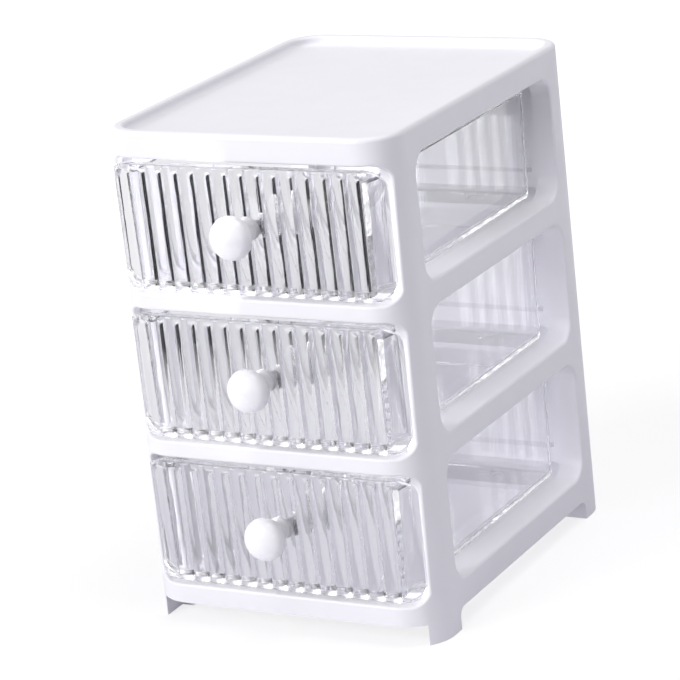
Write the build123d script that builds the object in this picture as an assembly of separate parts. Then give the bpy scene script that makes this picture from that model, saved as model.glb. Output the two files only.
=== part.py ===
from build123d import *
import math
import os

# Desktop organizer: a white moulded frame of three tiers, each with a clear fluted drawer and a knob.
# Millimetres, +Z up, drawers open towards -Y, origin under the middle of the whole box.

# Frame outline, at the top; every side spreads outwards down to the feet
frame_width = 130.0
frame_depth = 168.0
draft_spread = 1.6
foot_corner_radius = 17.5

# Heights of the frame, from the floor up
leg_height = 8.8
base_rail_height = 8.2
opening_height = 55.7
bar_height = 7.1
head_rail_height = 4.7
tier_names = ("lower", "middle", "upper")

# Sections of the frame
side_depth = 9.0
bar_depth = 10.0
pillar_lip = 3.7
opening_radius = 6.0
edge_radius = 1.0

# Side windows and the ledges that carry the drawers
window_front_margin = 22.4
window_rear_margin = 20.8
window_radius = 9.0
window_head_gap = 0.4
ledge_rise = 3.0
ledge_thickness = 2.4
ledge_reach = 8.0
leg_length = 23.5
arch_radius = 4.0

# Tray on top
rim_width = 4.6
tray_floor = 2.5
recess_depth = 4.0
rim_radius = 1.9
rim_inner_radius = 1.2
recess_radius = 12.0
recess_floor_radius = 2.0

# Back of the frame
back_thickness = 2.5
rear_shelf_reach = 33.5
rear_shelf_thickness = 2.4
rear_upstand_depth = 6.0
rear_upstand_height = 6.7

# Drawer front
front_gap = 1.6
front_side_gap = 0.7
front_proud = 1.6
front_thickness = 1.8
front_corner_radius = 7.5
front_top_rounding = 1.1
front_bottom_rounding = 0.8
front_lean_degrees = 1.3
flute_count = 14
flute_height = 2.3
flute_stop = 2.6
rim_dip = 0.5
end_zone_width = 8.6
end_turn_degrees = 56.0

# Drawer box
slide_gap = 0.2
box_side_gap = 2.2
box_draft_degrees = 1.0
box_wall = 2.0
box_floor = 2.0
box_height = 46.3
box_rear_gap = 13.0
box_corner_radius = 5.0
box_bottom_radius = 2.0
box_inner_bottom_radius = 1.2

# Knob, measured outwards from just above the flutes' crests; its foot goes into a flat spot cut in them
knob_lift = 1.2
knob_rise_gap = 0.1
spot_depth = 0.3
spot_side_gap = 0.2
knob_base_radius = 5.0
knob_neck_radius = 4.4
knob_neck_length = 3.4
knob_radius = 8.95
knob_half_thickness = 6.2
knob_centre = 11.1
knob_rim_rounding = 4.9
knob_tuck_radius = 5.5

# Screw that holds the knob from inside the drawer
screw_radius = 1.5
screw_thread_gap = 0.1
screw_bite = 8.0
screw_hole_gap = 0.2
screw_head_radius = 3.4
screw_head_height = 2.0
screw_head_rounding = 0.9
inner_seat_height = 0.3
cross_length = 3.6
cross_width = 0.9
cross_depth = 1.1

# How far a cutter runs past what it cuts
overrun = 5.0

# Levels and places worked out from the sizes above
tier_pitch = opening_height + bar_height
tier_bottoms = [leg_height + base_rail_height + tier * tier_pitch for tier in range(len(tier_names))]
head_bottom = tier_bottoms[-1] + opening_height
tray_bottom = head_bottom + head_rail_height
frame_height = tray_bottom + tray_floor + recess_depth
half_width = frame_width / 2
half_depth = frame_depth / 2
foot_half_width = half_width + draft_spread
foot_half_depth = half_depth + draft_spread
draft_degrees = math.degrees(math.atan(draft_spread / frame_height))
web_x = half_width - side_depth
bar_y = half_depth - bar_depth
opening_x = half_width - pillar_lip
seam_x = web_x - ledge_reach
top_corner_radius = foot_corner_radius - draft_spread
window_height = opening_height - ledge_rise - window_head_gap
window_front_y = -half_depth + window_front_margin
window_rear_y = half_depth - window_rear_margin
front_height = opening_height - 2 * front_gap
front_half_width = opening_x - front_side_gap
front_lean = math.tan(math.radians(front_lean_degrees))
flutes_half = front_half_width - end_zone_width
straight_half = half_width - top_corner_radius
end_run = straight_half + top_corner_radius * math.radians(end_turn_degrees)
valley_offset = front_proud - flute_height
inner_offset = valley_offset - front_thickness
inner_y = -half_depth - inner_offset + inner_seat_height
knob_rise = opening_height / 2 + knob_lift
seat_y = -half_depth - front_proud - knob_rise_gap
foot_length = knob_rise_gap + flute_height + spot_depth
knob_reach = knob_centre + knob_half_thickness
rim_centre = knob_radius - knob_rim_rounding
knob_crown_radius = (
    (rim_centre ** 2 + knob_half_thickness ** 2 - knob_rim_rounding ** 2)
    / (2 * (knob_half_thickness - knob_rim_rounding)))
crown_centre = knob_crown_radius - knob_half_thickness
rear_reach = foot_half_depth - draft_spread * leg_height / frame_height
box_shift = (knob_reach - seat_y - rear_reach) / 2


def block(x_low, x_high, y_low, y_high, z_low, z_high):
    centre = Pos((x_low + x_high) / 2, (y_low + y_high) / 2, (z_low + z_high) / 2)
    return centre * Box(x_high - x_low, y_high - y_low, z_high - z_low)


def along_y(sketch, y_front, y_rear, x, z):
    # A sketch drawn as seen from the front, stretched from front to rear
    plane = Plane(origin=(x, y_rear, z), x_dir=(1, 0, 0), z_dir=(0, -1, 0))
    return extrude(plane * sketch, y_rear - y_front)


def along_x(sketch, x_low, x_high, y, z):
    # A sketch drawn as seen from the right side, stretched from left to right
    plane = Plane(origin=(x_low, y, z), x_dir=(0, 1, 0), z_dir=(1, 0, 0))
    return extrude(plane * sketch, x_high - x_low)


def turned(profile, y, z):
    # A profile of radius and distance forward of the seat, turned about a line that runs front to rear
    return Pos(0, y, z) * revolve(profile, Axis.Y)


def frame_envelope():
    foot = RectangleRounded(2 * foot_half_width, 2 * foot_half_depth, foot_corner_radius)
    return extrude(foot, frame_height, taper=draft_degrees)


def window_edges(solid):
    # Edges where the windows break through the outer side faces
    found = []
    for edge in solid.edges():
        points = [edge @ 0, edge @ 0.5, edge @ 1]
        on_side = all(abs(point.X) > web_x + side_depth / 2 for point in points)
        between = all(
            window_front_y - edge_radius < point.Y < window_rear_y + edge_radius for point in points)
        inside = all(tier_bottoms[0] < point.Z < head_bottom for point in points)
        if on_side and between and inside:
            found.append(edge)
    return found


def opening_edges(solid):
    # Edges where the drawer openings break through the front face
    found = []
    for edge in solid.edges():
        points = [edge @ 0, edge @ 0.5, edge @ 1]
        on_front = all(point.Y < -bar_y - edge_radius / 2 for point in points)
        inside = all(abs(point.X) < opening_x + edge_radius for point in points)
        level = all(tier_bottoms[0] - edge_radius < point.Z < head_bottom + edge_radius for point in points)
        if on_front and inside and level:
            found.append(edge)
    return found


def frame_moulding():
    # The white frame below the tray, whole, before it is parted into its pieces
    frame = frame_envelope() & block(
        -foot_half_width, foot_half_width, -foot_half_depth, foot_half_depth, 0, tray_bottom)
    frame -= block(-web_x, web_x, -bar_y, bar_y, -overrun, tray_bottom + overrun)
    frame -= block(-seam_x, seam_x, bar_y, foot_half_depth + overrun, -overrun, tray_bottom + overrun)
    opening = RectangleRounded(2 * opening_x, opening_height, opening_radius)
    window = RectangleRounded(window_rear_y - window_front_y, window_height, window_radius)
    window_y = (window_front_y + window_rear_y) / 2
    for bottom in tier_bottoms:
        middle = bottom + opening_height / 2
        frame -= along_y(opening, -foot_half_depth - overrun, -bar_y, 0, middle)
        window_z = bottom + ledge_rise + window_height / 2
        frame -= along_x(
            window, -foot_half_width - overrun, foot_half_width + overrun, window_y, window_z)
    frame = fillet(window_edges(frame), edge_radius)
    frame = fillet(opening_edges(frame), edge_radius)
    # Ledges under the drawers, from front bars to rear corners
    for bottom in tier_bottoms:
        ledge_top = bottom + ledge_rise
        for side in (-1, 1):
            x_low, x_high = sorted((side * seam_x, side * web_x))
            frame += block(x_low, x_high, -bar_y, bar_y, ledge_top - ledge_thickness, ledge_top)
    # Arches between the legs: the sides with rounded ends, the front and the rear square
    arch_length = 2 * (foot_half_depth - leg_length)
    arch = RectangleRounded(arch_length, 2 * leg_height, arch_radius)
    frame -= along_x(arch, -foot_half_width - overrun, foot_half_width + overrun, 0, 0)
    for y_low, y_high in ((-foot_half_depth, -bar_y), (bar_y, foot_half_depth)):
        frame -= block(-opening_x, opening_x, y_low - overrun, y_high + overrun, -overrun, leg_height)
    return frame


def side_frame(frame, side):
    x_low, x_high = sorted((side * seam_x, side * (foot_half_width + overrun)))
    return frame & block(
        x_low, x_high, -foot_half_depth, foot_half_depth, -overrun, tray_bottom + overrun)


def front_bar(frame, z_low, z_high):
    return frame & block(-seam_x, seam_x, -foot_half_depth, -bar_y + overrun, z_low, z_high)


def rear_shelf(bottom):
    # Shelf under the rear of a drawer, with an upstand against the back panel
    ledge_top = bottom + ledge_rise
    shelf_bottom = ledge_top - rear_shelf_thickness
    back_face = half_depth - back_thickness
    upstand_face = back_face - rear_upstand_depth
    shelf = block(-seam_x, seam_x, upstand_face - rear_shelf_reach, back_face, shelf_bottom, ledge_top)
    upstand = block(-seam_x, seam_x, upstand_face, back_face, shelf_bottom, ledge_top + rear_upstand_height)
    return shelf + upstand


def back_panel():
    inner_face = half_depth - back_thickness
    return frame_envelope() & block(
        -seam_x, seam_x, inner_face, foot_half_depth, leg_height, tray_bottom)


def top_tray():
    tray = frame_envelope() & block(
        -foot_half_width, foot_half_width, -foot_half_depth, foot_half_depth, tray_bottom, frame_height)
    recess = RectangleRounded(frame_width - 2 * rim_width, frame_depth - 2 * rim_width, recess_radius)
    floor_level = frame_height - recess_depth
    tray -= Pos(0, 0, floor_level) * extrude(recess, recess_depth + overrun)
    floor_edges = tray.faces().filter_by_position(Axis.Z, floor_level, floor_level)[0].edges()
    tray = fillet(floor_edges, min(recess_floor_radius, recess_depth / 2))
    rim = tray.faces().sort_by(Axis.Z)[-1]
    tray = fillet(rim.outer_wire().edges(), min(rim_radius, rim_width / 2))
    rim = tray.faces().sort_by(Axis.Z)[-1]
    return fillet(rim.inner_wires()[0].edges(), min(rim_inner_radius, rim_width / 3, recess_depth / 3))


def outline_point(run, offset):
    # A point on the frame's front outline, a run along it from the middle and an offset outwards
    side = math.copysign(1, run)
    if abs(run) <= straight_half:
        return (run, -half_depth - offset)
    turn = (abs(run) - straight_half) / top_corner_radius
    radius = top_corner_radius + offset
    return (side * (straight_half + radius * math.sin(turn)),
            -half_depth + top_corner_radius - radius * math.cos(turn))


def front_profile(fluted, dip):
    # Plan of the front: outside, flutes or a line that far behind their crests; inside, a plain face
    bend_run = (straight_half + end_run) / 2
    edges = []
    if fluted:
        steps = [2 * step / flute_count - 1 for step in range(flute_count + 1)]
        valleys = [-end_run] + [step * flutes_half for step in steps] + [end_run]
        for start, end in zip(valleys, valleys[1:]):
            crest = outline_point((start + end) / 2, front_proud)
            edges.append(ThreePointArc(
                outline_point(start, valley_offset), crest, outline_point(end, valley_offset)))
        outer = valley_offset
    else:
        outer = front_proud - dip
        for side in (-1, 1):
            edges.append(ThreePointArc(
                outline_point(side * end_run, outer), outline_point(side * bend_run, outer),
                outline_point(side * straight_half, outer)))
        edges.append(Line(outline_point(-straight_half, outer), outline_point(straight_half, outer)))
    for side in (-1, 1):
        edges.append(Line(outline_point(side * end_run, outer), outline_point(side * end_run, inner_offset)))
        edges.append(ThreePointArc(
            outline_point(side * end_run, inner_offset), outline_point(side * bend_run, inner_offset),
            outline_point(side * straight_half, inner_offset)))
    edges.append(Line(
        outline_point(-straight_half, inner_offset), outline_point(straight_half, inner_offset)))
    return make_face(Wire.combine([edge.edge() for edge in edges])[0].edges())


def leaning(profile, bottom):
    # The front leans outwards going up, about its middle height
    start = Pos(0, front_lean * front_height / 2, bottom)
    rise = math.hypot(front_height, front_lean * front_height)
    return extrude(start * profile, rise, dir=(0, -front_lean, 1))


def outer_edges(face, shift):
    # Edges of a plate's end face that lie on its outer side; the lean has shifted the face by that much
    found = []
    for edge in face.edges():
        point = edge @ 0.5
        depth = point.Y - shift + half_depth
        if abs(point.X) < straight_half:
            outside = depth < 0
        else:
            radius = math.hypot(abs(point.X) - straight_half, depth - top_corner_radius)
            outside = radius > top_corner_radius
        if outside:
            found.append(edge)
    return found


def drawer_front(bottom):
    # Fluted plate that wraps round the frame's front corners
    low = bottom + front_gap
    shift = front_lean * front_height / 2
    plain = leaning(front_profile(False, 0), low)
    plain = fillet(outer_edges(plain.faces().sort_by(Axis.Z)[-1], -shift), front_top_rounding)
    plain = fillet(outer_edges(plain.faces().sort_by(Axis.Z)[0], shift), front_bottom_rounding)
    outline = RectangleRounded(2 * front_half_width, front_height, front_corner_radius)
    window = along_y(outline, seat_y - overrun, -bar_y + overrun, 0, low + front_height / 2)
    rim_low = low + front_height - flute_stop
    rim = leaning(front_profile(False, rim_dip), low) & block(
        -half_width, half_width, -half_depth - overrun, half_depth, rim_low, low + front_height)
    return (leaning(front_profile(True, 0), low) + rim) & plain & window


def drawer_box(bottom):
    # Open-topped box behind the front; its sides lean outwards going up
    floor_bottom = bottom + ledge_rise + slide_gap
    half_box = web_x - box_side_gap
    rear_y = bar_y - box_rear_gap
    front_y = -half_depth - inner_offset - front_thickness / 2
    length = rear_y - front_y + 2 * box_corner_radius
    middle_y = rear_y - length / 2
    plan = RectangleRounded(2 * half_box, length, box_corner_radius)
    inner_plan = RectangleRounded(
        2 * (half_box - box_wall), length - 2 * box_wall, box_corner_radius - box_wall)
    shell = extrude(plan, box_height, taper=-box_draft_degrees)
    shell = fillet(shell.faces().sort_by(Axis.Z)[0].edges(), box_bottom_radius)
    hollow = extrude(inner_plan, box_height + overrun, taper=-box_draft_degrees)
    hollow = fillet(hollow.faces().sort_by(Axis.Z)[0].edges(), box_inner_bottom_radius)
    shell = Pos(0, middle_y, floor_bottom) * shell - Pos(0, middle_y, floor_bottom + box_floor) * hollow
    return shell & block(-half_width, half_width, front_y, half_depth, bottom, bottom + opening_height)


def drawer(bottom):
    shape = drawer_front(bottom) + drawer_box(bottom)
    axis_z = bottom + knob_rise
    shape += along_y(Circle(screw_head_radius), -half_depth - valley_offset + spot_depth, inner_y, 0, axis_z)
    spot = Circle(knob_base_radius + spot_side_gap)
    shape -= along_y(spot, seat_y - overrun, seat_y + foot_length, 0, axis_z)
    hole = Circle(screw_radius + screw_hole_gap)
    return shape - along_y(hole, seat_y - overrun, inner_y + overrun, 0, axis_z)


def knob(bottom):
    # Flattened ball of tangent arcs on a waisted neck and a straight foot, with a blind hole for the screw
    meet = math.degrees(math.atan2(crown_centre, rim_centre))
    tuck = math.degrees(math.acos(knob_tuck_radius / knob_crown_radius))
    crown = CenterArc((0, crown_centre - knob_centre), knob_crown_radius, -90, 90 - meet)
    rim = CenterArc((rim_centre, -knob_centre), knob_rim_rounding, -meet, 2 * meet)
    shoulder = CenterArc((0, -crown_centre - knob_centre), knob_crown_radius, meet, tuck - meet)
    waist = ThreePointArc(shoulder @ 1, (knob_neck_radius, -knob_neck_length), (knob_base_radius, 0))
    bore_radius = screw_radius + screw_thread_gap
    bore_depth = screw_bite + screw_hole_gap
    edges = [
        crown, rim, shoulder, waist,
        Line((knob_base_radius, 0), (knob_base_radius, foot_length)),
        Line((knob_base_radius, foot_length), (bore_radius, foot_length)),
        Line((bore_radius, foot_length), (bore_radius, -bore_depth)),
        Line((bore_radius, -bore_depth), (0, -bore_depth)),
        Line((0, -bore_depth), (0, -knob_reach)),
    ]
    profile = make_face(Wire.combine([edge.edge() for edge in edges])[0].edges())
    return turned(profile, seat_y, bottom + knob_rise)


def knob_screw(bottom):
    # Cross-head screw, its head on the drawer's inner seat and its thread in the knob
    axis_z = bottom + knob_rise
    crown_y = inner_y + screw_head_height
    screw = along_y(Circle(screw_head_radius), inner_y, crown_y, 0, axis_z)
    screw = fillet(screw.faces().sort_by(Axis.Y)[-1].edges(), screw_head_rounding)
    for cross in (Rectangle(cross_length, cross_width), Rectangle(cross_width, cross_length)):
        screw -= along_y(cross, crown_y - cross_depth, crown_y + overrun, 0, axis_z)
    return screw + along_y(Circle(screw_radius), seat_y - screw_bite, inner_y, 0, axis_z)


os.makedirs("parts", exist_ok=True)
frame = frame_moulding()
pieces = {
    "top_tray": top_tray(),
    "side_frame_left": side_frame(frame, -1),
    "side_frame_right": side_frame(frame, 1),
    "front_bar_base": front_bar(frame, leg_height, tier_bottoms[0]),
    "front_bar_head": front_bar(frame, head_bottom, tray_bottom),
    "back_panel": back_panel(),
}
for name, bottom in zip(tier_names[1:], tier_bottoms[1:]):
    pieces["front_bar_" + name] = front_bar(frame, bottom - bar_height, bottom)
for name, bottom in zip(tier_names, tier_bottoms):
    pieces["rear_shelf_" + name] = rear_shelf(bottom)
    pieces["drawer_" + name] = drawer(bottom)
    pieces["knob_" + name] = knob(bottom)
    pieces["knob_screw_" + name] = knob_screw(bottom)
for name, shape in pieces.items():
    export_step(Pos(0, box_shift, 0) * shape, "parts/" + name + ".step")
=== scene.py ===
import math

import bmesh
import bpy
from mathutils import Matrix, Vector


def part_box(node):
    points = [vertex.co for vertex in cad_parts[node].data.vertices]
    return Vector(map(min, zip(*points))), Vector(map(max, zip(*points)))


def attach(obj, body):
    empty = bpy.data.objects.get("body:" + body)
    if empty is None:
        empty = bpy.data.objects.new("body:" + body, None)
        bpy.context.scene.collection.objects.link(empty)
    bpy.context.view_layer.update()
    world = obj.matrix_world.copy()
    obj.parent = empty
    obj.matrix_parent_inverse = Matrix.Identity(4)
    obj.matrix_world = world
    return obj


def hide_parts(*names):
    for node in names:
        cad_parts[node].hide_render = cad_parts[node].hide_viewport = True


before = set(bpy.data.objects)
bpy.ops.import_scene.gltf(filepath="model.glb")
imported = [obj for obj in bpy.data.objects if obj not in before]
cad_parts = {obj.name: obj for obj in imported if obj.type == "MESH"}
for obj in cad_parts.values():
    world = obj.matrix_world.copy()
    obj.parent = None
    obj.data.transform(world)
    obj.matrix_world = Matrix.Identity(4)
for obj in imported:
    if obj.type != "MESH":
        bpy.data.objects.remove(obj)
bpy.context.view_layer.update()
mm = 0.001
mergeWithin = 0.001 * mm  # points nearer than this are one
print("frame loaded:", len(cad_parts), "nodes")

tierNames = ("upper", "middle", "lower")  # the drawer is made at the upper tier and copied down
trayLow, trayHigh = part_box("top_tray")
middleY = (trayLow.y + trayHigh.y) / 2  # middle of the white frame, front to rear


def linear(hexCode):  # sRGB hex to linear colour
    channels = [int(hexCode[i:i + 2], 16) / 255 for i in (0, 2, 4)]
    return [c / 12.92 if c <= 0.04045 else ((c + 0.055) / 1.055) ** 2.4 for c in channels] + [1]


def addNode(tree, kind, settings=None, links=None):
    node = tree.nodes.new(kind)
    for name, value in (settings or {}).items():
        setattr(node, name, value)
    for name, value in (links or {}).items():
        if isinstance(value, bpy.types.NodeSocket):
            tree.links.new(value, node.inputs[name])
        else:
            node.inputs[name].default_value = value
    return node


def newMaterial(name):
    material = bpy.data.materials.new(name)
    material.use_nodes = True
    material.node_tree.nodes.clear()
    return material, material.node_tree


def newPiece(name, mesh):
    piece = bpy.data.objects.new(name, mesh)
    bpy.context.scene.collection.objects.link(piece)
    return piece


# Moulded white ABS: satin off-white that goes a little cool in the shade, with the fine
# spark-eroded grain of the mould, drawn about twice as coarse as it is so that it shows
whiteAbs = {
    "pale": "F3F2F5", "deep": "EEEDF1", "mottleMm": 26.0,
    "roughest": 0.50, "smoothest": 0.38, "patchMm": 9.0, "patchLow": 0.3, "patchHigh": 0.7,
    "grainMm": 0.55, "grainHeightMm": 0.012, "ior": 1.54,
}


def mouldedWhiteAbs(look):
    material, tree = newMaterial("mouldedWhiteAbs")
    place = addNode(tree, "ShaderNodeTexCoord").outputs["Object"]
    mottle = addNode(tree, "ShaderNodeTexNoise", {}, {
        "Vector": place, "Scale": 1 / (look["mottleMm"] * mm), "Detail": 3.0})
    colour = addNode(tree, "ShaderNodeMix", {"data_type": "RGBA"}, {
        0: mottle.outputs[0], 6: linear(look["pale"]), 7: linear(look["deep"])})
    patch = addNode(tree, "ShaderNodeTexNoise", {}, {
        "Vector": place, "Scale": 1 / (look["patchMm"] * mm), "Detail": 2.0})
    rough = addNode(tree, "ShaderNodeMapRange", {}, {
        "Value": patch.outputs[0], "From Min": look["patchLow"], "From Max": look["patchHigh"],
        "To Min": look["smoothest"], "To Max": look["roughest"]})
    grain = addNode(tree, "ShaderNodeTexNoise", {}, {
        "Vector": place, "Scale": 1 / (look["grainMm"] * mm), "Detail": 2.0})
    bump = addNode(tree, "ShaderNodeBump", {}, {
        "Strength": 0.5, "Distance": look["grainHeightMm"] * mm, "Height": grain.outputs[0]})
    shader = addNode(tree, "ShaderNodeBsdfPrincipled", {}, {
        "Base Color": colour.outputs[2], "Roughness": rough.outputs[0], "IOR": look["ior"],
        "Normal": bump.outputs[0]})
    addNode(tree, "ShaderNodeOutputMaterial", {}, {"Surface": shader.outputs[0]})
    return material


# Clear moulded polystyrene: bright and water-clear, its polished faces wavering a little along
# the way the plastic flowed, with long upright streaks in the flutes that break up their lines
clearStyrene = {
    "tint": "FDFDFE", "ior": 1.59, "shadowTint": "EFEFF1",
    "smoothest": 0.0, "roughest": 0.035, "hazeMm": 14.0, "hazeLow": 0.35, "hazeHigh": 0.7,
    "flowMm": 1.8, "flowStretch": 14.0, "flowHeightMm": 0.006,
    "streakMm": 1.6, "streakStretch": 22.0, "streakHeightMm": 0.1, "streakDeepMm": 14.0,
}


def clearPolystyrene(look):
    material, tree = newMaterial("clearMouldedPolystyrene")
    place = addNode(tree, "ShaderNodeTexCoord").outputs["Object"]
    haze = addNode(tree, "ShaderNodeTexNoise", {}, {
        "Vector": place, "Scale": 1 / (look["hazeMm"] * mm), "Detail": 2.0})
    rough = addNode(tree, "ShaderNodeMapRange", {}, {
        "Value": haze.outputs[0], "From Min": look["hazeLow"], "From Max": look["hazeHigh"],
        "To Min": look["smoothest"], "To Max": look["roughest"]})
    stretched = addNode(tree, "ShaderNodeMapping", {}, {
        "Vector": place, "Scale": (1.0, 1.0, 1 / look["flowStretch"])})
    flow = addNode(tree, "ShaderNodeTexNoise", {}, {
        "Vector": stretched.outputs[0], "Scale": 1 / (look["flowMm"] * mm), "Detail": 1.0})
    bump = addNode(tree, "ShaderNodeBump", {}, {
        "Strength": 1.0, "Distance": look["flowHeightMm"] * mm, "Height": flow.outputs[0]})
    drawn = addNode(tree, "ShaderNodeMapping", {}, {
        "Vector": place, "Scale": (1.0, 1.0, 1 / look["streakStretch"])})
    streak = addNode(tree, "ShaderNodeTexNoise", {}, {
        "Vector": drawn.outputs[0], "Scale": 1 / (look["streakMm"] * mm), "Detail": 2.0})
    depth = addNode(tree, "ShaderNodeSeparateXYZ", {}, {0: place})
    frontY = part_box("drawer_upper")[0].y
    onFront = addNode(tree, "ShaderNodeMapRange", {}, {  # only the fluted front has the streaks
        "Value": depth.outputs["Y"], "From Min": frontY + look["streakDeepMm"] * mm, "From Max": frontY})
    streaked = addNode(tree, "ShaderNodeBump", {}, {
        "Strength": onFront.outputs[0], "Distance": look["streakHeightMm"] * mm, "Height": streak.outputs[0],
        "Normal": bump.outputs[0]})
    shader = addNode(tree, "ShaderNodeBsdfPrincipled", {}, {
        "Base Color": linear(look["tint"]), "Roughness": rough.outputs[0], "IOR": look["ior"],
        "Transmission Weight": 1.0, "Normal": streaked.outputs[0]})
    through = addNode(tree, "ShaderNodeBsdfTransparent", {}, {"Color": linear(look["shadowTint"])})
    path = addNode(tree, "ShaderNodeLightPath")
    both = addNode(tree, "ShaderNodeMixShader", {}, {  # lamps shine through it into the drawer
        0: path.outputs["Is Shadow Ray"], 1: shader.outputs[0], 2: through.outputs[0]})
    addNode(tree, "ShaderNodeOutputMaterial", {}, {"Surface": both.outputs[0]})
    return material


# Polished white ABS of the knobs: glossy, with the slight ripple of a polished mould
knobAbs = {
    "pale": "FBFAFC", "deep": "F7F6F9", "mottleMm": 8.0, "mottleLow": 0.3, "mottleHigh": 0.7,
    "smoothest": 0.2, "roughest": 0.3, "rippleMm": 2.2, "rippleHeightMm": 0.02, "ior": 1.54,
}


def polishedKnobAbs(look):
    material, tree = newMaterial("polishedWhiteAbs")
    place = addNode(tree, "ShaderNodeTexCoord").outputs["Object"]
    mottle = addNode(tree, "ShaderNodeTexNoise", {}, {
        "Vector": place, "Scale": 1 / (look["mottleMm"] * mm), "Detail": 2.0})
    colour = addNode(tree, "ShaderNodeMix", {"data_type": "RGBA"}, {
        0: mottle.outputs[0], 6: linear(look["pale"]), 7: linear(look["deep"])})
    rough = addNode(tree, "ShaderNodeMapRange", {}, {
        "Value": mottle.outputs[0], "From Min": look["mottleLow"], "From Max": look["mottleHigh"],
        "To Min": look["smoothest"], "To Max": look["roughest"]})
    ripple = addNode(tree, "ShaderNodeTexNoise", {}, {
        "Vector": place, "Scale": 1 / (look["rippleMm"] * mm), "Detail": 1.0})
    bump = addNode(tree, "ShaderNodeBump", {}, {
        "Strength": 0.4, "Distance": look["rippleHeightMm"] * mm, "Height": ripple.outputs[0]})
    shader = addNode(tree, "ShaderNodeBsdfPrincipled", {}, {
        "Base Color": colour.outputs[2], "Roughness": rough.outputs[0], "IOR": look["ior"],
        "Normal": bump.outputs[0]})
    addNode(tree, "ShaderNodeOutputMaterial", {}, {"Surface": shader.outputs[0]})
    return material


# Zinc-plated steel: bright grey metal with the fine scuffs of barrel plating
zincPlate = {
    "pale": "E6E6E8", "deep": "D0D1D5", "smoothest": 0.34, "roughest": 0.52,
    "scuffMm": 0.8, "scuffHeightMm": 0.01, "scuffLow": 0.3, "scuffHigh": 0.7,
}


def zincPlatedSteel(look):
    material, tree = newMaterial("zincPlatedSteel")
    place = addNode(tree, "ShaderNodeTexCoord").outputs["Object"]
    scuff = addNode(tree, "ShaderNodeTexNoise", {}, {
        "Vector": place, "Scale": 1 / (look["scuffMm"] * mm), "Detail": 4.0})
    colour = addNode(tree, "ShaderNodeMix", {"data_type": "RGBA"}, {
        0: scuff.outputs[0], 6: linear(look["pale"]), 7: linear(look["deep"])})
    rough = addNode(tree, "ShaderNodeMapRange", {}, {
        "Value": scuff.outputs[0], "From Min": look["scuffLow"], "From Max": look["scuffHigh"],
        "To Min": look["smoothest"], "To Max": look["roughest"]})
    bump = addNode(tree, "ShaderNodeBump", {}, {
        "Strength": 0.5, "Distance": look["scuffHeightMm"] * mm, "Height": scuff.outputs[0]})
    shader = addNode(tree, "ShaderNodeBsdfPrincipled", {}, {
        "Base Color": colour.outputs[2], "Roughness": rough.outputs[0], "Metallic": 1.0,
        "Normal": bump.outputs[0]})
    addNode(tree, "ShaderNodeOutputMaterial", {}, {"Surface": shader.outputs[0]})
    return material


slotMaterials = {
    "white_moulding": mouldedWhiteAbs(whiteAbs),
    "clear_moulding": clearPolystyrene(clearStyrene),
    "white_knob": polishedKnobAbs(knobAbs),
    "plated_screw": zincPlatedSteel(zincPlate),
}
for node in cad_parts.values():
    for materialSlot in node.material_slots:
        materialSlot.material = slotMaterials[materialSlot.material.name.split(".")[0]]
print("materials made")

# The drawer is made once, at the upper tier: a front from a node tree, and a box joined to it
drawerLow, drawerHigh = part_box("drawer_upper")
knobLow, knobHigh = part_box("knob_upper")
knobFootY = knobHigh.y  # the knob's foot stands in a flat spot cut in the flutes
knobAxisZ = (knobLow.z + knobHigh.z) / 2

frontSizes = {  # mm; offsets are measured outwards from the white frame's front face
    "Half Width": drawerHigh.x / mm, "Height": (drawerHigh.z - drawerLow.z) / mm,
    "Corner Radius": 7.5, "Top Rounding": 1.1, "Bottom Rounding": 0.8,
    "Proud": 1.6, "Flute Height": 2.3, "Flutes Half": 52.0, "Wall": 1.8,
    "Flute Stop": 2.6, "Rim Dip": 0.5, "Run Out": 3.0,
    "Straight Half": 49.1, "Turn Radius": 15.9, "Bulge End": 64.64,
    "Nose": 0.7, "Nose Offset": -1.16,
}
frontSteps = {"Flutes Each Side": 7, "Flute Steps": 16, "End Steps": 16, "Nose Steps": 6, "Rows": 48}
frontSeat = {  # mm, and the front's backward lean in degrees
    "spotDepth": 0.3, "spotRadius": 4.98, "pressIn": 0.02, "headSeat": 3.4, "innerSeat": 0.3,
    "hole": 1.7, "past": 10.0, "lean": 1.3, "around": 72,
}
valleyDepth = frontSizes["Flute Height"] - frontSizes["Proud"]  # how far back the valleys lie
facePlaneY = knobFootY - (valleyDepth + frontSeat["spotDepth"]) * mm
leanSlope = math.tan(math.radians(frontSeat["lean"]))


class Field:  # a number in a node tree, so that the front's shape can be written as sums
    def __init__(self, tree, socket):
        self.tree, self.socket = tree, socket

    def math(self, operation, *others):
        links = {i: getattr(value, "socket", value) for i, value in enumerate((self, *others))}
        node = addNode(self.tree, "ShaderNodeMath", {"operation": operation}, links)
        return Field(self.tree, node.outputs[0])

    def __add__(self, other):
        return self.math("ADD", other)

    def __sub__(self, other):
        return self.math("SUBTRACT", other)

    def __rsub__(self, other):
        return self.math("MULTIPLY", -1.0).math("ADD", other)

    def __mul__(self, other):
        return self.math("MULTIPLY", other)

    def __truediv__(self, other):
        return self.math("DIVIDE", other)

    def choose(self, yes, no):  # yes where this field is 1, no where it is 0
        return no + self * (yes - no)


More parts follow.
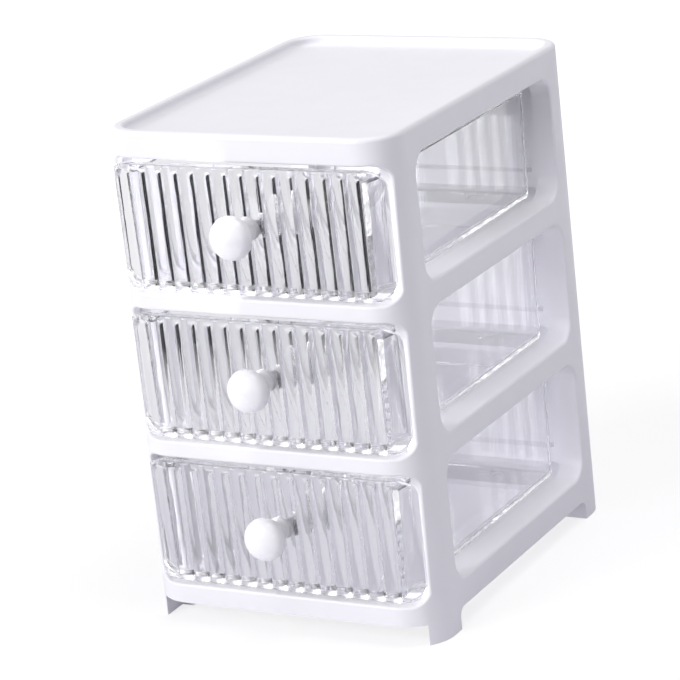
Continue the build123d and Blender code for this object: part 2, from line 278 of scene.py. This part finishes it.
def flutedFrontTree():
    tree = bpy.data.node_groups.new("flutedFront", "GeometryNodeTree")
    tree.interface.new_socket("Mesh", in_out="OUTPUT", socket_type="NodeSocketGeometry")
    for name in frontSizes:
        tree.interface.new_socket(name, in_out="INPUT", socket_type="NodeSocketFloat")
    for name in frontSteps:
        tree.interface.new_socket(name, in_out="INPUT", socket_type="NodeSocketInt")
    tree.interface.new_socket("Lean", in_out="INPUT", socket_type="NodeSocketFloat")
    tree.interface.new_socket("Face Y", in_out="INPUT", socket_type="NodeSocketFloat")
    tree.interface.new_socket("Bottom Z", in_out="INPUT", socket_type="NodeSocketFloat")
    tree.interface.new_socket("Plastic", in_out="INPUT", socket_type="NodeSocketMaterial")
    given = addNode(tree, "NodeGroupInput")
    size = {name: Field(tree, given.outputs[name]) for name in
            list(frontSizes) + list(frontSteps) + ["Lean", "Face Y", "Bottom Z"]}

    # a flat grid, one unit a step: columns run across the front, rows go up its outer
    # face, over the top, down its inner face and back under to the first row
    fluteColumns = size["Flutes Each Side"] * size["Flute Steps"]
    endColumns = fluteColumns + size["End Steps"]
    columns = endColumns + size["Nose Steps"]
    loopRows = size["Rows"] * 2 + 2
    grid = addNode(tree, "GeometryNodeMeshGrid", {}, {
        "Size X": (columns * 2).socket, "Size Y": loopRows.socket,
        "Vertices X": (columns * 2 + 1).socket, "Vertices Y": (loopRows + 1).socket})
    position = addNode(tree, "GeometryNodeInputPosition").outputs[0]
    flat = addNode(tree, "ShaderNodeSeparateXYZ", {}, {0: position})
    column = Field(tree, flat.outputs["X"]).math("ROUND")
    row = (Field(tree, flat.outputs["Y"]) + loopRows / 2).math("ROUND").math("MODULO", loopRows)
    side = column.math("SIGN")
    step = column.math("ABSOLUTE")
    inner = row.math("GREATER_THAN", size["Rows"] + 0.5)
    rise = inner.choose(loopRows - 1 - row, row) / size["Rows"]
    height = size["Height"] * (0.5 - (rise * math.pi).math("COSINE") * 0.5)  # rows crowd at top and bottom

    def arcDrop(radius, distance):  # how far a rounded edge falls away at this distance from it
        short = (radius - distance).math("MAXIMUM", 0.0)
        return radius - (radius * radius - short * short).math("MAXIMUM", 0.0).math("SQRT")

    toTop = size["Height"] - height
    edgeX = size["Half Width"] - arcDrop(size["Corner Radius"], height.math("MINIMUM", toTop))
    ceiling = (size["Proud"] - arcDrop(size["Top Rounding"], toTop)
               - arcDrop(size["Bottom Rounding"], height))

    # half-round flutes across the flat part
    pitch = size["Flutes Half"] / size["Flutes Each Side"]
    valley = size["Proud"] - size["Flute Height"]
    fluteRadius = pitch * pitch / (size["Flute Height"] * 8) + size["Flute Height"] / 2
    halfAngle = (pitch / (fluteRadius * 2)).math("ARCSINE")
    across = step / size["Flute Steps"]
    nudge = 0.0001  # puts the step between two flutes in the outer one
    whole = (across + nudge).math("FLOOR")
    angle = (across - whole - 0.5) * 2 * halfAngle
    fluteRun = (whole + 0.5) * pitch + fluteRadius * angle.math("SINE")
    fluteOff = valley + fluteRadius * angle.math("COSINE") - fluteRadius + size["Flute Height"]
    rimOff = (size["Proud"] - size["Rim Dip"]  # the flutes run out under a plain rim
              - (toTop - size["Flute Stop"]).math("MAXIMUM", 0.0) * size["Run Out"])

    # one wide bulge round each end, cut off at the silhouette's edge
    turnMax = ((edgeX - size["Straight Half"]) / (size["Turn Radius"] + size["Nose Offset"])).math("ARCSINE")
    endRun = size["Straight Half"] + size["Turn Radius"] * turnMax - size["Nose"]
    along = ((step - fluteColumns) / size["End Steps"]).math("MINIMUM", 1.0)
    bulgeRun = size["Flutes Half"] + along * (endRun - size["Flutes Half"])
    bulgeHalf = (size["Bulge End"] - size["Flutes Half"]) / 2
    aside = (bulgeRun - size["Flutes Half"]) / bulgeHalf - 1
    bulgeOff = valley + size["Flute Height"] * (1.0 - aside * aside)

    isFlute = step.math("LESS_THAN", fluteColumns + 0.5)
    shaped = isFlute.choose(fluteOff, bulgeOff)
    rimmed = aside.math("LESS_THAN", 0.0).choose(shaped.math("MAXIMUM", rimOff), shaped)
    outerOff = rimmed.math("MINIMUM", ceiling)
    innerOff = valley - size["Wall"]

    # the two faces close in a round nose at each end
    nose = ((step - endColumns) / size["Nose Steps"]).math("MAXIMUM", 0.0) * (math.pi / 2)
    run = isFlute.choose(fluteRun, bulgeRun) + size["Nose"] * nose.math("SINE")
    middle = (outerOff + innerOff) / 2
    half = (outerOff - innerOff) / 2 * nose.math("COSINE")
    off = middle + inner.choose(half * -1, half)

    turn = (run - size["Straight Half"]).math("MAXIMUM", 0.0) / size["Turn Radius"]
    reach = size["Turn Radius"] + off
    x = side * (run.math("MINIMUM", size["Straight Half"]) + reach * turn.math("SINE"))
    y = (size["Face Y"] + size["Turn Radius"] - reach * turn.math("COSINE")
         - size["Lean"] * (height - size["Height"] / 2))
    z = size["Bottom Z"] + height
    place = addNode(tree, "ShaderNodeCombineXYZ", {}, {"X": x.socket, "Y": y.socket, "Z": z.socket})
    plate = addNode(tree, "GeometryNodeSetPosition", {}, {
        "Geometry": grid.outputs["Mesh"], "Position": place.outputs[0]})
    closed = addNode(tree, "GeometryNodeMergeByDistance", {}, {
        "Geometry": plate.outputs[0], "Distance": mergeWithin})
    real = addNode(tree, "GeometryNodeRealizeInstances", {}, {"Geometry": closed.outputs[0]})
    dressed = addNode(tree, "GeometryNodeSetMaterial", {}, {
        "Geometry": real.outputs[0], "Material": given.outputs["Plastic"]})
    addNode(tree, "NodeGroupOutput", {}, {"Mesh": dressed.outputs[0]})
    return tree


def plainMesh(piece):  # the evaluated object as a mesh of its own
    bpy.context.view_layer.update()
    return bpy.data.meshes.new_from_object(piece.evaluated_get(bpy.context.evaluated_depsgraph_get()))


def flutedFront():
    tree = flutedFrontTree()
    maker = newPiece("flutedFrontMaker", bpy.data.meshes.new("flutedFrontMaker"))
    modifier = maker.modifiers.new("flutes", "NODES")
    modifier.node_group = tree
    values = {name: value * mm for name, value in frontSizes.items()}
    values["Run Out"] = frontSizes["Run Out"]  # a slope, not a length
    values.update(frontSteps)
    values.update({"Lean": leanSlope, "Face Y": facePlaneY, "Bottom Z": drawerLow.z,
                   "Plastic": slotMaterials["clear_moulding"]})
    for socket in tree.interface.items_tree:
        if socket.in_out == "INPUT":
            modifier[socket.identifier] = values[socket.name]
    mesh = plainMesh(maker)
    bpy.data.objects.remove(maker)
    return mesh


boxSizes = {  # mm; heights are measured from the underside of the floor
    "halfWidth": 53.8, "draft": 1.0, "wall": 2.0, "floor": 2.0, "height": 46.3, "lift": 1.6,
    "cornerRadius": 5.0, "bottomRadius": 2.0, "innerBottomRadius": 1.2, "rimRounding": 0.5,
    "intoFront": 1.2, "hollowIntoFront": 0.3, "cornerSteps": 12, "filletSteps": 6,
}
boxFloorZ = drawerLow.z + boxSizes["lift"] * mm
boxSpread = math.tan(math.radians(boxSizes["draft"]))
boxRearY = drawerHigh.y - boxSizes["height"] * boxSpread * mm


def boxRing(mesh, height, inset, intoFront):  # one level of the box, open corners at the front
    spread = height * boxSpread - inset
    half = (boxSizes["halfWidth"] + spread) * mm
    rear = boxRearY + spread * mm
    radius = (boxSizes["cornerRadius"] + spread) * mm
    z = boxFloorZ + height * mm
    lean = leanSlope * (z - (drawerLow.z + drawerHigh.z) / 2)
    front = facePlaneY + (frontSizes["Wall"] + valleyDepth - intoFront) * mm - lean
    points = [(-half, front)]
    for centreX, first in ((radius - half, 180), (half - radius, 90)):
        for i in range(boxSizes["cornerSteps"] + 1):
            angle = math.radians(first - 90 * i / boxSizes["cornerSteps"])
            points.append((centreX + radius * math.cos(angle), rear - radius + radius * math.sin(angle)))
    points.append((half, front))
    return [mesh.verts.new((x, y, z)) for x, y in points]


def drawerBox():
    steps = [math.pi / 2 * i / boxSizes["filletSteps"] for i in range(boxSizes["filletSteps"] + 1)]
    wall, top, rim = boxSizes["wall"], boxSizes["height"], boxSizes["rimRounding"]
    foot, heel, floor = boxSizes["bottomRadius"], boxSizes["innerBottomRadius"], boxSizes["floor"]
    levels = [(foot * (1 - math.cos(t)), foot * (1 - math.sin(t)), "intoFront") for t in steps]
    levels += [(top - rim * (1 - math.sin(t)), rim * (1 - math.cos(t)), "intoFront") for t in steps]
    levels += [(top - rim * (1 - math.cos(t)), wall - rim * (1 - math.sin(t)), "hollowIntoFront")
               for t in steps]
    levels += [(floor + heel * (1 - math.sin(t)), wall + heel * (1 - math.cos(t)), "hollowIntoFront")
               for t in steps]
    mesh = bmesh.new()
    rings = [boxRing(mesh, height, inset, boxSizes[into]) for height, inset, into in levels]
    for lower, upper in zip(rings, rings[1:]):
        for i in range(len(lower)):
            j = (i + 1) % len(lower)
            mesh.faces.new((lower[i], lower[j], upper[j], upper[i]))
    mesh.faces.new(rings[0])
    mesh.faces.new(rings[-1])
    bmesh.ops.recalc_face_normals(mesh, faces=mesh.faces)
    return mesh


def roundBar(radius, front, rear):  # a closed bar along the knob's screw
    mesh = bmesh.new()
    turn = Matrix.Translation((0, (front + rear) / 2, knobAxisZ)) @ Matrix.Rotation(math.pi / 2, 4, "X")
    bmesh.ops.create_cone(mesh, cap_ends=True, segments=frontSeat["around"], radius1=radius, radius2=radius,
                          depth=rear - front, matrix=turn)
    bmesh.ops.recalc_face_normals(mesh, faces=mesh.faces)
    return mesh


gateMark = {  # mm and degrees
    "x": 28.0, "y": 60.5, "arm": 3.6, "width": 0.9, "height": 0.5, "sunk": 0.3, "turn": 30, "arms": 3,
}


def mouldGateMark():  # the three-armed scar on the floor where the plastic was let into the mould
    half, floorTop = gateMark["width"] / 2, boxFloorZ + boxSizes["floor"] * mm
    halfTurn = math.pi / gateMark["arms"]
    outline = []
    for i in range(gateMark["arms"]):
        turn = math.radians(gateMark["turn"]) + 2 * halfTurn * i
        along = Vector((math.cos(turn), math.sin(turn)))
        across = Vector((-along.y, along.x))
        outline += [along * gateMark["arm"] - across * half, along * gateMark["arm"] + across * half]
        turn += halfTurn  # the corner between this arm and the next
        outline.append(Vector((math.cos(turn), math.sin(turn))) * half / math.sin(halfTurn))
    mesh = bmesh.new()
    levels = [floorTop - gateMark["sunk"] * mm, floorTop + gateMark["height"] * mm]
    lower, upper = ([mesh.verts.new(((gateMark["x"] + spot.x) * mm, (gateMark["y"] + spot.y) * mm, z))
                     for spot in outline] for z in levels)
    for i in range(len(lower)):
        j = (i + 1) % len(lower)
        mesh.faces.new((lower[i], lower[j], upper[j], upper[i]))
    mesh.faces.new(lower)
    mesh.faces.new(upper)
    bmesh.ops.recalc_face_normals(mesh, faces=mesh.faces)
    return mesh


def joinUp(name, base, others):  # unions and cuts, worked out on stand-ins that are then removed
    work = newPiece(name, base)
    helpers = []
    for label, operation, mesh in others:
        data = bpy.data.meshes.new(label)
        mesh.to_mesh(data)
        mesh.free()
        helper = newPiece(label, data)
        helpers.append(helper)
        modifier = work.modifiers.new(label, "BOOLEAN")
        modifier.operation, modifier.object, modifier.solver = operation, helper, "EXACT"
    joined = plainMesh(work)
    for helper in helpers + [work]:
        bpy.data.objects.remove(helper)
    return joined


def finishFaces(mesh, sharpDegrees, material):  # flat faces stay flat beside the rounded ones
    work = bmesh.new()
    work.from_mesh(mesh)
    bmesh.ops.remove_doubles(work, verts=work.verts, dist=mergeWithin)
    bmesh.ops.dissolve_degenerate(work, edges=work.edges, dist=mergeWithin)
    for face in work.faces:
        face.smooth, face.material_index = True, 0
    work.to_mesh(mesh)
    work.free()
    mesh.materials.clear()
    mesh.materials.append(material)
    mesh.set_sharp_from_angle(angle=math.radians(sharpDegrees))
    shaded = newPiece("shading", mesh)
    modifier = shaded.modifiers.new("flatFaces", "WEIGHTED_NORMAL")
    modifier.keep_sharp, modifier.weight = True, 100
    finished = plainMesh(shaded)
    bpy.data.objects.remove(shaded)
    return finished


innerSeatY = facePlaneY + (frontSizes["Wall"] + valleyDepth + frontSeat["innerSeat"]) * mm
spotY = knobFootY - frontSeat["pressIn"] * mm  # pressed together, so no air shows between foot and flutes
past = frontSeat["past"] * mm  # how far the cutters run past each side
drawerMesh = joinUp("flutedDrawer", flutedFront(), [
    ("box", "UNION", drawerBox()),
    ("gateMark", "UNION", mouldGateMark()),
    ("headSeat", "UNION", roundBar(frontSeat["headSeat"] * mm, knobFootY, innerSeatY)),
    ("flatSpot", "DIFFERENCE", roundBar(frontSeat["spotRadius"] * mm, knobFootY - past, spotY)),
    ("screwHole", "DIFFERENCE", roundBar(frontSeat["hole"] * mm, knobFootY - past, innerSeatY + past)),
])
sharpDegrees = 32  # edges that turn by more stay crisp
drawerMesh = finishFaces(drawerMesh, sharpDegrees, slotMaterials["clear_moulding"])
print("drawer made:", len(drawerMesh.polygons), "faces")
for tier in tierNames:
    mesh = drawerMesh.copy()
    mesh.transform(Matrix.Translation((0, 0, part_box("drawer_" + tier)[0].z - drawerLow.z)))
    piece = newPiece("flutedDrawer_" + tier, mesh)
    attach(piece, tier + "_drawer")
    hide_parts("drawer_" + tier)
print("drawers placed")

photoCamera = {  # mm, degrees and the photograph's pixels
    "azimuth": 29.89, "elevation": 17.551, "roll": -5.937, "distance": 1325.226,
    "focalPixels": 3159.235, "photoPixels": 680, "sensor": 36.0,
    "aimRight": 9.667, "aimUp": 6.149, "aimHeight": 104.77, "clipEnd": 50.0,  # the last in metres
}


def placeCamera(shot):
    azimuth, elevation, roll = (math.radians(shot[name]) for name in ("azimuth", "elevation", "roll"))
    back = Vector((math.sin(azimuth) * math.cos(elevation), -math.cos(azimuth) * math.cos(elevation),
                   math.sin(elevation)))
    level = Vector((math.cos(azimuth), math.sin(azimuth), 0))
    upright = back.cross(level)
    right = level * math.cos(roll) + upright * math.sin(roll)
    up = upright * math.cos(roll) - level * math.sin(roll)
    spot = (Vector((0, middleY, shot["aimHeight"] * mm)) + back * shot["distance"] * mm
            - right * shot["aimRight"] * mm - up * shot["aimUp"] * mm)
    data = bpy.data.cameras.new("photoCamera")
    data.sensor_width = shot["sensor"]
    data.lens = shot["sensor"] * shot["focalPixels"] / shot["photoPixels"]
    data.clip_end = shot["clipEnd"]
    camera = bpy.data.objects.new("photoCamera", data)
    bpy.context.scene.collection.objects.link(camera)
    camera.matrix_world = Matrix((
        (right.x, up.x, back.x, spot.x), (right.y, up.y, back.y, spot.y),
        (right.z, up.z, back.z, spot.z), (0, 0, 0, 1)))
    bpy.context.scene.camera = camera


placeCamera(photoCamera)
print("camera placed")

studio = {  # metres and watts
    "floorSize": 12.0, "floorColour": "E9E9EE", "floorShare": 0.34,
    "glowNear": 0.72, "glowFar": 0.99, "glowFrom": 0.22, "glowTo": 0.9,
    "seenThrough": "F9F9FB", "seenNear": "D0CFD9", "seenFrom": 0.14, "seenTo": 0.5,
    "ambient": "DDDCE6", "ambientStrength": 0.42, "aimHeight": 0.1,
    "keyFrom": (-1.05, -1.85, 1.0), "keySize": 1.3, "keyWatts": 37.0,
    "topFrom": (0.5, 0.15, 2.05), "topSize": 1.2, "topWatts": 18.0,
    "cards": {"Left": ((-1.6, 0.4), (-1.7, -0.26)), "Right": ((0.4, 1.8), (-1.7, 0.12))},
    "cardLift": 0.002, "cardPaleAt": 0.29, "cardDarkAt": 0.42, "cardPale": "FFFFFF", "cardDark": "040405",
    "spreadWatts": {"upper": 0.062, "middle": 0.022, "lower": 0.009},
    "spreadSize": (0.06, 0.04), "spreadBehind": 0.02, "spreadAim": (-1.0, 0.3, 0.0), "bounces": 64,
}


def beforeMatt(tree, path, seen):  # keeps what is seen only for rays that have met no matt surface yet
    direct = addNode(tree, "ShaderNodeMath", {"operation": "LESS_THAN"}, {
        0: path.outputs["Diffuse Depth"], 1: 0.5})
    return addNode(tree, "ShaderNodeMath", {"operation": "MULTIPLY"}, {
        0: seen.outputs[0], 1: direct.outputs[0]}).outputs[0]


def whiteToCamera(tree, plain, white, through):  # white to the camera, nearly white through clear plastic
    path = addNode(tree, "ShaderNodeLightPath")
    clear = addNode(tree, "ShaderNodeMath", {"operation": "MAXIMUM"}, {
        0: path.outputs["Is Glossy Ray"], 1: path.outputs["Is Transmission Ray"]})
    first = addNode(tree, "ShaderNodeMixShader", {}, {
        0: beforeMatt(tree, path, clear), 1: plain.outputs[0], 2: through.outputs[0]})
    return addNode(tree, "ShaderNodeMixShader", {}, {
        0: path.outputs["Is Camera Ray"], 1: first.outputs[0], 2: white.outputs[0]}).outputs[0]


def stagePlane(name, xs, ys, z, material):
    mesh = bpy.data.meshes.new(name)
    corners = [(xs[0], ys[0], z), (xs[1], ys[0], z), (xs[1], ys[1], z), (xs[0], ys[1], z)]
    mesh.from_pydata(corners, [], [(0, 1, 2, 3)])
    mesh.materials.append(material)
    plane = newPiece(name, mesh)
    return plane


def awayFrom(tree, near, far, low, high):  # low up to one distance from the object, high past the other
    place = addNode(tree, "ShaderNodeTexCoord").outputs["Object"]
    away = addNode(tree, "ShaderNodeVectorMath", {"operation": "LENGTH"}, {0: place})
    return addNode(tree, "ShaderNodeMapRange", {}, {
        "Value": away.outputs["Value"], "From Min": near, "From Max": far,
        "To Min": low, "To Max": high}).outputs[0]


def paleFloor(look):
    material, tree = newMaterial("paleStudioFloor")
    plain = addNode(tree, "ShaderNodeBsdfDiffuse", {}, {"Color": linear(look["floorColour"])})
    share = [look["floorShare"]] * 3 + [1]
    catcher = addNode(tree, "ShaderNodeBsdfDiffuse", {}, {"Color": share})
    glow = addNode(tree, "ShaderNodeEmission", {}, {
        "Strength": awayFrom(tree, look["glowFrom"], look["glowTo"], look["glowNear"], look["glowFar"])})
    white = addNode(tree, "ShaderNodeAddShader", {}, {0: catcher.outputs[0], 1: glow.outputs[0]})
    seen = addNode(tree, "ShaderNodeMix", {"data_type": "RGBA"}, {  # duller in the object's own shade
        0: awayFrom(tree, look["seenFrom"], look["seenTo"], 0.0, 1.0),
        6: linear(look["seenNear"]), 7: linear(look["seenThrough"])})
    through = addNode(tree, "ShaderNodeEmission", {}, {"Color": seen.outputs[2]})
    addNode(tree, "ShaderNodeOutputMaterial", {}, {"Surface": whiteToCamera(tree, plain, white, through)})
    material.cycles.emission_sampling = "NONE"
    half = look["floorSize"] / 2
    stagePlane("studioFloor", (-half, half), (-half, half), 0, material)


def darkCards(look):  # cards on the table that give the flutes their dark lines
    material, tree = newMaterial("blackCard")
    shade = addNode(tree, "ShaderNodeMix", {"data_type": "RGBA"}, {
        0: awayFrom(tree, look["cardPaleAt"], look["cardDarkAt"], 0.0, 1.0),
        6: linear(look["cardPale"]), 7: linear(look["cardDark"])})
    seen = addNode(tree, "ShaderNodeEmission", {}, {"Color": shade.outputs[2]})
    path = addNode(tree, "ShaderNodeLightPath")
    mirrored = addNode(tree, "ShaderNodeMath", {"operation": "COMPARE"}, {  # after one reflection, no more
        0: path.outputs["Glossy Depth"], 1: 1.0, 2: 0.5})
    clear = addNode(tree, "ShaderNodeBsdfTransparent")
    shown = addNode(tree, "ShaderNodeMixShader", {}, {
        0: beforeMatt(tree, path, mirrored), 1: clear.outputs[0], 2: seen.outputs[0]})
    addNode(tree, "ShaderNodeOutputMaterial", {}, {"Surface": shown.outputs[0]})
    material.cycles.emission_sampling = "NONE"
    for side, (xs, ys) in look["cards"].items():
        card = stagePlane("blackCard" + side, xs, ys, look["cardLift"], material)
        card.visible_camera = card.visible_diffuse = card.visible_shadow = False


def whiteWorld(look):
    world = bpy.data.worlds.new("whiteStudio")
    world.use_nodes = True
    tree = world.node_tree
    tree.nodes.clear()
    ambient = addNode(tree, "ShaderNodeBackground", {}, {
        "Color": linear(look["ambient"]), "Strength": look["ambientStrength"]})
    white = addNode(tree, "ShaderNodeBackground", {}, {"Color": (1, 1, 1, 1), "Strength": 1.0})
    through = addNode(tree, "ShaderNodeBackground", {}, {"Color": linear(look["seenThrough"])})
    addNode(tree, "ShaderNodeOutputWorld", {}, {"Surface": whiteToCamera(tree, ambient, white, through)})
    bpy.context.scene.world = world


def softbox(name, spot, size, watts, aim):
    data = bpy.data.lights.new(name, "AREA")
    data.shape = "RECTANGLE"
    data.size, data.size_y, data.energy = *size, watts
    lamp = bpy.data.objects.new(name, data)
    bpy.context.scene.collection.objects.link(lamp)
    lamp.location = spot
    lamp.rotation_euler = (Vector(spot) - Vector(aim)).to_track_quat("Z", "Y").to_euler()
    return lamp


def spreadLight(look):  # the flutes throw the light that comes through them sideways into each drawer
    for tier in tierNames:
        low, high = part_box("drawer_" + tier)
        spot = Vector((0, low.y + look["spreadBehind"], (low.z + high.z) / 2))
        lamp = softbox(tier + "Spread", spot, look["spreadSize"], look["spreadWatts"][tier],
                       spot + Vector(look["spreadAim"]))
        lamp.visible_camera = lamp.visible_glossy = lamp.visible_transmission = False


paleFloor(studio)
whiteWorld(studio)
darkCards(studio)
spreadLight(studio)
for lamp in ("key", "top"):
    softbox(lamp + "Softbox", studio[lamp + "From"], [studio[lamp + "Size"]] * 2, studio[lamp + "Watts"],
            (0, middleY, studio["aimHeight"]))
bpy.context.scene.view_settings.view_transform = "Standard"
for kind in ("max", "transmission", "glossy"):  # light runs far along the clear walls before it leaves them
    setattr(bpy.context.scene.cycles, kind + "_bounces", studio["bounces"])
print("studio set")
